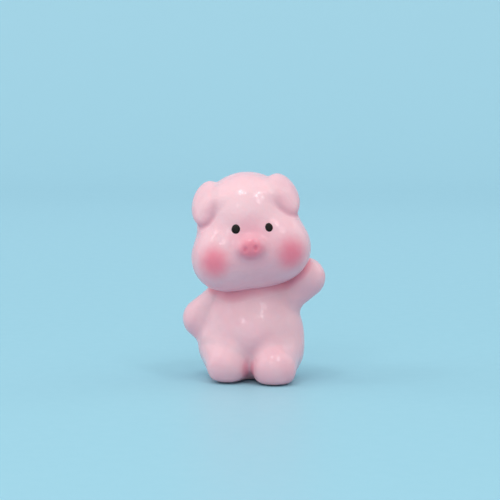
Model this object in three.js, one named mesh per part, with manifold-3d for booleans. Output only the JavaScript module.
// Miniature sitting piglet ornament in glossy pink resin: a leaning head with folded ears, a snout and
// bead eyes, on a pear-shaped torso with two stubby legs, one lowered arm, one raised arm and a curled tail.
// Every limb carries a peg that plugs into a socket of the torso or the head.
// Millimetres, +Z up. The piglet faces -Y, its own left side is +X, and it sits on the plane z = 0.
import * as THREE from 'three';
import { mergeVertices } from 'three/addons/utils/BufferGeometryUtils.js';
import Module from 'manifold-3d';

// Fits
const SEAM_GAP = 0.3;
const EYE_GAP = 0.1;

// Torso: a wide hip form, a narrower chest form and a round belly in front that run into each other
const HIP_WIDTH = 17.5;
const HIP_DEPTH = 12.6;
const HIP_HEIGHT = 20.3;
const HIP_RISE = 6.45;
const HIP_BACK = 1.4;
const CHEST_WIDTH = 12.4;
const CHEST_DEPTH = 9.2;
const CHEST_HEIGHT = 15.4;
const CHEST_LIFT = 7.15;
const CHEST_BACK = 1.0;
const BELLY_WIDTH = 13.8;
const BELLY_DEPTH = 13.0;
const BELLY_HEIGHT = 12.4;
const BELLY_RISE = 7.6;
const BELLY_FORWARD = 0.6;
const WAIST_BLEND = 2.8;
const BELLY_BLEND = 2.0;
const BASE_ROUNDING = 1.5;

// Head: skull, two cheeks and a chin in one blended form, leaning, turned and tipped back.
// It sits a little towards its own right, and its right cheek hangs lower.
const HEAD_LIFT = 10.05;
const HEAD_SHIFT = 0.3;
const HEAD_LEAN = 6.5;
const HEAD_TURN = 5;
const HEAD_TIP = 9;
const SKULL_WIDTH = 17.0;
const SKULL_DEPTH = 16.3;
const SKULL_HEIGHT = 18.1;
const SKULL_BACK = 0.35;
const SKULL_RISE = 1.9;
const CHEEK_WIDTH = 10.65;
const CHEEK_DEPTH = 10.9;
const CHEEK_HEIGHT = 11.1;
const CHEEK_SPACING = 9.2;
const CHEEK_FORWARD = 2.9;
const RIGHT_CHEEK_DROP = 3.05;
const LEFT_CHEEK_DROP = 2.35;
const CHIN_WIDTH = 13.6;
const CHIN_DEPTH = 14.3;
const CHIN_HEIGHT = 11.4;
const CHIN_FORWARD = 1.35;
const CHIN_DROP = 3.1;
const CHIN_SHIFT = 0.25;
const FACE_BLEND = 2.1;

// Neck: a spigot on the torso that enters the head
const NECK_DIAMETER = 5.0;
const NECK_DEPTH = 3.2;

// Ears: thick rounded flaps that lie on the upper corners of the skull, folded forward.
// Climb and forward are the angles at which they sit on the skull, seen from its centre.
const EAR_WIDTH = 6.0;
const EAR_THICKNESS = 3.4;
const EAR_LENGTH = 8.8;
const EAR_CLIMB = 32;
const EAR_FORWARD = 23.3;
const EAR_SINK = 0.4;
const EAR_TURN = 45.6;
const EAR_FOLD = 31;
const EAR_SPREAD = 20;
const EAR_PEG_DIAMETER = 1.6;
const EAR_PEG_DEPTH = 2.2;

// Snout: a low mound with two nostril dents
const SNOUT_WIDTH = 4.6;
const SNOUT_HEIGHT = 3.2;
const SNOUT_DEPTH = 4.2;
const SNOUT_PROUD = 1.3;
const SNOUT_DROP = 2.2;
const SNOUT_PEG_DIAMETER = 1.6;
const SNOUT_PEG_DEPTH = 1.8;
const NOSTRIL_WIDTH = 0.5;
const NOSTRIL_HEIGHT = 0.65;
const NOSTRIL_SPACING = 1.75;
const NOSTRIL_DROP = 0.55;
const NOSTRIL_DEPTH = 0.3;

// Eyes: oval beads let into the face, placed one by one as the hand-finished face has them
const EYE_WIDTH = 1.5;
const EYE_HEIGHT = 1.7;
const EYE_PROUD = 0.25;
const RIGHT_EYE_OUT = 2.0;
const RIGHT_EYE_RISE = 1.0;
const LEFT_EYE_OUT = 3.3;
const LEFT_EYE_RISE = 0.6;

// Arms: tapered limbs that swell towards a round hand
const SHOULDER_DIAMETER = 4.5;
const HAND_DIAMETER = 6.8;
const ARM_LENGTH = 4.3;
const LOWERED_ARM_DROP = 0.5;
const LOWERED_ARM_INSET = 1.2;
const LOWERED_ARM_BACK = 0.5;
const LOWERED_ARM_ANGLE = 145.5;
const LOWERED_ARM_SWEEP = 17;
const LOWERED_ARM_PEG_ALONG = 2.1;
const RAISED_ARM_DROP = 0.25;
const RAISED_ARM_INSET = 0.65;
const RAISED_ARM_BACK = 0.9;
const RAISED_ARM_ANGLE = 36;
const RAISED_ARM_SWEEP = 3;
const RAISED_ARM_PEG_ALONG = 0.1;
const ARM_PEG_DIAMETER = 2.0;
const ARM_PEG_DEPTH = 2.8;

// Legs: stubby limbs stretched forward from the hips, with flat soles
const THIGH_DIAMETER = 5.6;
const THIGH_INSET = 3.4;
const THIGH_FORWARD = 2.2;
const RIGHT_THIGH_RISE = 5.4;
const LEFT_THIGH_RISE = 4.4;
const RIGHT_FOOT_DIAMETER = 6.2;
const LEFT_FOOT_DIAMETER = 7.05;
const RIGHT_LEG_REACH = 3.65;
const LEFT_LEG_REACH = 5.6;
const RIGHT_SOLE_CUT = 0.2;
const LEFT_SOLE_CUT = 1.0;
const CROTCH_GAP = 1.65;
const LEG_PEG_DIAMETER = 2.4;
const LEG_PEG_DEPTH = 2.6;

// Tail: a short curl at the back
const TAIL_DIAMETER = 1.1;
const TAIL_RISE = 6.0;
const TAIL_CURL_DIAMETER = 2.6;
const TAIL_CURL_TURN = 290;
const TAIL_CURL_RISE = 0.9;
const TAIL_PEG_DEPTH = 1.6;

// Facets
const HEAD_FACETS = [44, 30];
const TORSO_FACETS = [40, 28];
const LOBE_FACETS = [24, 16];
const BEAD_FACETS = [12, 8];
const LIMB_FACETS = 24;
const LIMB_ARC_STEPS = 7;
const PEG_FACETS = 16;
const TAIL_STEPS = 18;
const TAIL_FACETS = 5;

// Surfaces
const RESIN_COLOUR = 0xf2c1cc;
const SNOUT_COLOUR = 0xdb90a4;
const EYE_COLOUR = 0x1c1614;
const RESIN_ROUGHNESS = 0.22;
const BEAD_ROUGHNESS = 0.15;

const FARTHEST = 60;
const BISECTIONS = 48;
const { degToRad } = THREE.MathUtils;
const at = (x, y, z) => new THREE.Vector3(x, y, z);
const along = (point, direction, distance) => point.clone().addScaledVector(direction, distance);
const forward = at(0, -1, 0);

const wasm = await Module();
wasm.setup();

// A closed geometry becomes a solid for cutting and joining; triangles that collapse at a pole are left out.
function solid(geometry) {
  geometry.deleteAttribute('normal');
  geometry.deleteAttribute('uv');
  const merged = mergeVertices(geometry);
  const corners = merged.index.array;
  const triangles = [];
  for (let i = 0; i < corners.length; i += 3) {
    const [a, b, c] = corners.slice(i, i + 3);
    if (a !== b && b !== c && c !== a) triangles.push(a, b, c);
  }
  const vertProperties = Float32Array.from(merged.attributes.position.array);
  const triVerts = Uint32Array.from(triangles);
  return new wasm.Manifold(new wasm.Mesh({ numProp: 3, vertProperties, triVerts }));
}

// A finished solid becomes a named mesh with a material of its own.
function piece(name, body, color = RESIN_COLOUR, roughness = RESIN_ROUGHNESS) {
  const { vertProperties, triVerts } = body.getMesh();
  const geometry = new THREE.BufferGeometry();
  geometry.setAttribute('position', new THREE.BufferAttribute(vertProperties, 3));
  geometry.setIndex(new THREE.BufferAttribute(triVerts, 1));
  geometry.computeVertexNormals();
  const mesh = new THREE.Mesh(geometry, new THREE.MeshStandardMaterial({ color, roughness, metalness: 0 }));
  mesh.name = name;
  return mesh;
}

// Field of an ellipsoid: below zero inside, and close to the distance in millimetres near its surface.
function ellipsoid(centre, width, depth, height) {
  const radii = at(width / 2, depth / 2, height / 2);
  return (point) => {
    const offset = point.clone().sub(centre).divide(radii);
    const share = offset.length();
    const slope = offset.divide(radii).length();
    return slope > 0 ? (share * (share - 1)) / slope : -Math.min(...radii.toArray());
  };
}

// Two fields run into each other over the given width, as clay that is smoothed where two lumps meet.
function blend(first, second, width) {
  return (point) => {
    const a = first(point);
    const b = second(point);
    const near = Math.max(width - Math.abs(a - b), 0) / width;
    return Math.min(a, b) - (near * near * width) / 4;
  };
}

// A field is cut off below z = 0, with its edge rounded over the given width.
function standOnFloor(field, rounding) {
  const cut = blend((point) => -field(point), (point) => point.z, rounding);
  return (point) => -cut(point);
}

// Where the surface of a field, grown by some millimetres, lies on the way out from a point inside it.
function surfacePoint(field, inside, direction, growth = 0) {
  const way = direction.clone().normalize();
  let near = 0;
  let far = FARTHEST;
  for (let i = 0; i < BISECTIONS; i += 1) {
    const middle = (near + far) / 2;
    if (field(along(inside, way, middle)) < growth) near = middle;
    else far = middle;
  }
  return along(inside, way, near);
}

// A blended form: every direction of a sphere is carried out to the surface of the field.
function moulded(field, centre, [around, rings], growth = 0) {
  const geometry = new THREE.SphereGeometry(1, around, rings).rotateX(Math.PI / 2);
  const { position } = geometry.attributes;
  for (let i = 0; i < position.count; i += 1) {
    const direction = new THREE.Vector3().fromBufferAttribute(position, i);
    position.setXYZ(i, ...surfacePoint(field, centre, direction, growth));
  }
  return geometry;
}

// A plain rounded lobe of the given size, turned and then set at its centre.
function lobe(centre, width, depth, height, facets = LOBE_FACETS, turn = new THREE.Euler()) {
  const geometry = new THREE.SphereGeometry(1, ...facets).rotateX(Math.PI / 2);
  geometry.scale(width / 2, depth / 2, height / 2);
  const place = new THREE.Matrix4().makeRotationFromEuler(turn).setPosition(centre);
  return solid(geometry.applyMatrix4(place));
}

// A tapered limb with round ends: two arcs and the straight side that touches both, turned about its axis.
function taperedLimb(root, tip, rootRadius, tipRadius) {
  const axis = tip.clone().sub(root);
  const length = axis.length();
  const side = Math.asin((rootRadius - tipRadius) / length);
  const arc = (radius, middle, from, to) => Array.from({ length: LIMB_ARC_STEPS + 1 }, (_, i) => {
    const angle = from + ((to - from) * i) / LIMB_ARC_STEPS;
    return new THREE.Vector2(Math.max(radius * Math.cos(angle), 0), middle + radius * Math.sin(angle));
  });
  const profile = [...arc(rootRadius, 0, -Math.PI / 2, side), ...arc(tipRadius, length, side, Math.PI / 2)];
  profile[0].x = 0;
  profile.at(-1).x = 0;
  const geometry = new THREE.LatheGeometry(profile, LIMB_FACETS);
  const turn = new THREE.Quaternion().setFromUnitVectors(at(0, 1, 0), axis.normalize());
  return solid(geometry.applyQuaternion(turn).translate(...root));
}

// A straight round peg between two points, or its socket when it is grown by the gap.
function peg(start, end, diameter, growth = 0) {
  const axis = end.clone().sub(start);
  const radius = diameter / 2 + growth;
  const geometry = new THREE.CylinderGeometry(radius, radius, axis.length() + 2 * growth, PEG_FACETS);
  const turn = new THREE.Quaternion().setFromUnitVectors(at(0, 1, 0), axis.normalize());
  return solid(geometry.applyQuaternion(turn).translate(...start.clone().add(end).multiplyScalar(0.5)));
}

// A limb is trimmed to the bed that it lies on and keeps the part of its peg that its own skin covers.
function seated(limb, bed, plug) {
  return limb.subtract(bed).add(plug.intersect(limb.add(bed)));
}

// Torso form
const hipCentre = at(0, HIP_BACK, HIP_RISE);
const chestCentre = at(0, CHEST_BACK, HIP_RISE + CHEST_LIFT);
const hips = ellipsoid(hipCentre, HIP_WIDTH, HIP_DEPTH, HIP_HEIGHT);
const chest = ellipsoid(chestCentre, CHEST_WIDTH, CHEST_DEPTH, CHEST_HEIGHT);
const belly = ellipsoid(at(0, -BELLY_FORWARD, BELLY_RISE), BELLY_WIDTH, BELLY_DEPTH, BELLY_HEIGHT);
const trunk = blend(blend(hips, chest, WAIST_BLEND), belly, BELLY_BLEND);
const torsoField = standOnFloor(trunk, BASE_ROUNDING);
const torsoCore = hipCentre.clone().add(chestCentre).multiplyScalar(0.5);
const torsoBed = solid(moulded(torsoField, torsoCore, TORSO_FACETS, SEAM_GAP));

// Head form, in the frame of the head
const head = new THREE.Group();
head.position.set(-HEAD_SHIFT, 0, chestCentre.z + HEAD_LIFT);
head.rotation.set(degToRad(-HEAD_TIP), degToRad(-HEAD_LEAN), degToRad(HEAD_TURN), 'ZYX');
head.updateMatrixWorld();
const skullCentre = at(0, SKULL_BACK, SKULL_RISE);
const skull = ellipsoid(skullCentre, SKULL_WIDTH, SKULL_DEPTH, SKULL_HEIGHT);
const chin = ellipsoid(at(CHIN_SHIFT, -CHIN_FORWARD, -CHIN_DROP), CHIN_WIDTH, CHIN_DEPTH, CHIN_HEIGHT);
const [rightCheek, leftCheek] = [[-1, RIGHT_CHEEK_DROP], [1, LEFT_CHEEK_DROP]].map(([side, drop]) => {
  const centre = at((side * CHEEK_SPACING) / 2, -CHEEK_FORWARD, -drop);
  return ellipsoid(centre, CHEEK_WIDTH, CHEEK_DEPTH, CHEEK_HEIGHT);
});
const headField = blend(blend(skull, chin, FACE_BLEND), blend(rightCheek, leftCheek, FACE_BLEND), FACE_BLEND);
const headCore = at(0, 0, 0);
const headBedForm = moulded(headField, headCore, HEAD_FACETS, SEAM_GAP);
const headBed = solid(headBedForm.clone());
const headBedInPlace = solid(headBedForm.clone().applyMatrix4(head.matrixWorld));
const facePoint = (x, z) => surfacePoint(headField, at(x, 0, z), forward);

let headBody = solid(moulded(headField, headCore, HEAD_FACETS));
let torsoBody = solid(moulded(torsoField, torsoCore, TORSO_FACETS)).subtract(headBedInPlace);

// Neck: the spigot stands on the torso and enters the underside of the head
const headInPlace = (point) => headField(head.worldToLocal(point.clone()));
const neckSeat = surfacePoint(headInPlace, at(0, CHEST_BACK, head.position.z), at(0, 0, -1));
const neckEnds = [chestCentre, along(neckSeat, at(0, 0, 1), NECK_DEPTH)];
torsoBody = torsoBody.add(peg(...neckEnds, NECK_DIAMETER));
const neckEndsInHead = neckEnds.map((point) => head.worldToLocal(point.clone()));
headBody = headBody.subtract(peg(...neckEndsInHead, NECK_DIAMETER, SEAM_GAP));

// Ears
for (const [name, side] of [['right_ear', -1], ['left_ear', 1]]) {
  const [climb, round] = [degToRad(EAR_CLIMB), degToRad(EAR_FORWARD)];
  const outward = at(side * Math.cos(round), -Math.sin(round), Math.tan(climb)).normalize();
  const root = surfacePoint(skull, skullCentre, outward);
  const [fold, spread, swing] = [degToRad(EAR_FOLD), degToRad(EAR_SPREAD), degToRad(EAR_TURN)];
  const turn = new THREE.Euler(-fold, side * spread, side * swing, 'ZXY');
  const flap = lobe(along(root, outward, -EAR_SINK), EAR_WIDTH, EAR_THICKNESS, EAR_LENGTH, LOBE_FACETS, turn);
  const ends = [along(root, outward, EAR_THICKNESS), along(root, outward, -EAR_PEG_DEPTH)];
  head.add(piece(name, seated(flap, headBed, peg(...ends, EAR_PEG_DIAMETER))));
  headBody = headBody.subtract(peg(...ends, EAR_PEG_DIAMETER, SEAM_GAP));
}

// Snout
const snoutRoot = facePoint(0, -SNOUT_DROP);
const snoutCentre = along(snoutRoot, forward, SNOUT_PROUD - SNOUT_DEPTH / 2);
const snoutField = ellipsoid(snoutCentre, SNOUT_WIDTH, SNOUT_DEPTH, SNOUT_HEIGHT);
const snoutEnds = [along(snoutRoot, forward, SNOUT_PROUD), along(snoutRoot, forward, -SNOUT_PEG_DEPTH)];
const snoutMound = lobe(snoutCentre, SNOUT_WIDTH, SNOUT_DEPTH, SNOUT_HEIGHT);
let snoutBody = seated(snoutMound, headBed, peg(...snoutEnds, SNOUT_PEG_DIAMETER));
headBody = headBody.subtract(peg(...snoutEnds, SNOUT_PEG_DIAMETER, SEAM_GAP));
for (const side of [-1, 1]) {
  const within = at((side * NOSTRIL_SPACING) / 2, snoutCentre.y, snoutCentre.z - NOSTRIL_DROP);
  const mouth = surfacePoint(snoutField, within, forward);
  snoutBody = snoutBody.subtract(lobe(mouth, NOSTRIL_WIDTH, 2 * NOSTRIL_DEPTH, NOSTRIL_HEIGHT, BEAD_FACETS));
}
head.add(piece('snout', snoutBody, SNOUT_COLOUR));

// Eyes
const bead = (centre, growth = 0) => {
  const across = EYE_WIDTH + 2 * growth;
  return lobe(centre, across, across, EYE_HEIGHT + 2 * growth, BEAD_FACETS);
};
const eyes = [
  ['right_eye', -RIGHT_EYE_OUT, RIGHT_EYE_RISE],
  ['left_eye', LEFT_EYE_OUT, LEFT_EYE_RISE],
];
for (const [name, x, z] of eyes) {
  const centre = along(facePoint(x, z), forward, EYE_PROUD - EYE_WIDTH / 2);
  head.add(piece(name, bead(centre), EYE_COLOUR, BEAD_ROUGHNESS));
  headBody = headBody.subtract(bead(centre, EYE_GAP));
}
head.add(piece('head', headBody));

const piglet = new THREE.Group();
piglet.add(head);

// Arms: each shoulder is let into the side of the chest, and the arm is trimmed by the torso and the head
const lowered = {
  drop: LOWERED_ARM_DROP, inset: LOWERED_ARM_INSET, back: LOWERED_ARM_BACK,
  angle: LOWERED_ARM_ANGLE, sweep: LOWERED_ARM_SWEEP, pegAlong: LOWERED_ARM_PEG_ALONG,
};
const raised = {
  drop: RAISED_ARM_DROP, inset: RAISED_ARM_INSET, back: RAISED_ARM_BACK,
  angle: RAISED_ARM_ANGLE, sweep: RAISED_ARM_SWEEP, pegAlong: RAISED_ARM_PEG_ALONG,
};
for (const [name, side, pose] of [['right_arm', -1, lowered], ['left_arm', 1, raised]]) {
  const outward = at(side, 0, 0);
  const skin = surfacePoint(torsoField, at(0, pose.back, chestCentre.z - pose.drop), outward);
  const shoulder = along(skin, outward, -pose.inset);
  const [bend, sweep] = [degToRad(pose.angle), degToRad(pose.sweep)];
  const reach = at(side * Math.sin(bend), Math.tan(sweep), Math.cos(bend)).normalize();
  const hand = along(shoulder, reach, ARM_LENGTH);
  const limb = taperedLimb(shoulder, hand, SHOULDER_DIAMETER / 2, HAND_DIAMETER / 2);
  const seat = surfacePoint(torsoField, along(shoulder, reach, pose.pegAlong).setX(0), outward);
  const ends = [along(seat, outward, SHOULDER_DIAMETER / 2), along(seat, outward, -ARM_PEG_DEPTH)];
  piglet.add(piece(name, seated(limb, torsoBed, peg(...ends, ARM_PEG_DIAMETER)).subtract(headBedInPlace)));
  torsoBody = torsoBody.subtract(peg(...ends, ARM_PEG_DIAMETER, SEAM_GAP));
}

// Legs: the feet stand either side of the crotch gap, in front of the belly, and their soles lie on z = 0
const floor = solid(new THREE.BoxGeometry(FARTHEST, FARTHEST, FARTHEST).translate(0, 0, -FARTHEST / 2));
const legs = [
  ['right_leg', -1, RIGHT_FOOT_DIAMETER, RIGHT_LEG_REACH, RIGHT_SOLE_CUT, RIGHT_THIGH_RISE],
  ['left_leg', 1, LEFT_FOOT_DIAMETER, LEFT_LEG_REACH, LEFT_SOLE_CUT, LEFT_THIGH_RISE],
];
for (const [name, side, footDiameter, reach, soleCut, thighRise] of legs) {
  const footRadius = footDiameter / 2;
  const foot = at(side * (CROTCH_GAP / 2 + footRadius), 0, footRadius - soleCut);
  const front = surfacePoint(torsoField, at(foot.x, HIP_BACK, foot.z), forward);
  foot.y = front.y - reach + footRadius;
  const thigh = at(side * (HIP_WIDTH / 2 - THIGH_INSET), HIP_BACK - THIGH_FORWARD, thighRise);
  const limb = taperedLimb(thigh, foot, THIGH_DIAMETER / 2, footRadius).subtract(floor);
  const ends = [along(front, forward, reach / 2), along(front, forward, -LEG_PEG_DEPTH)];
  piglet.add(piece(name, seated(limb, torsoBed, peg(...ends, LEG_PEG_DIAMETER))));
  torsoBody = torsoBody.subtract(peg(...ends, LEG_PEG_DIAMETER, SEAM_GAP));
}

// Tail: a peg out of the back, an elbow, and a curl that opens away from the body
const tailRadius = TAIL_DIAMETER / 2;
const curlRadius = TAIL_CURL_DIAMETER / 2;
const tailSeat = surfacePoint(torsoField, at(0, HIP_BACK, TAIL_RISE), at(0, 1, 0));
const elbow = along(tailSeat, forward, -SEAM_GAP - tailRadius);
class Curl extends THREE.Curve {
  getPoint(t) {
    const angle = degToRad(TAIL_CURL_TURN) * t;
    const x = curlRadius * Math.sin(angle);
    const z = elbow.z + curlRadius * (1 - Math.cos(angle));
    return at(x, elbow.y + TAIL_CURL_RISE * t, z);
  }
}
const section = new THREE.Shape().absarc(0, 0, tailRadius, 0, 2 * Math.PI);
const curl = new Curl();
const curlTube = solid(new THREE.ExtrudeGeometry(section, {
  steps: TAIL_STEPS, curveSegments: TAIL_FACETS, bevelEnabled: false, extrudePath: curl,
}));
const roundEnd = (centre) => lobe(centre, TAIL_DIAMETER, TAIL_DIAMETER, TAIL_DIAMETER, BEAD_FACETS);
const tailEnds = [along(tailSeat, forward, TAIL_PEG_DEPTH), elbow];
const tailTips = roundEnd(elbow).add(roundEnd(curl.getPoint(1)));
piglet.add(piece('tail', curlTube.add(tailTips).add(peg(...tailEnds, TAIL_DIAMETER))));
torsoBody = torsoBody.subtract(peg(...tailEnds, TAIL_DIAMETER, SEAM_GAP));

piglet.add(piece('torso', torsoBody));

export default piglet;
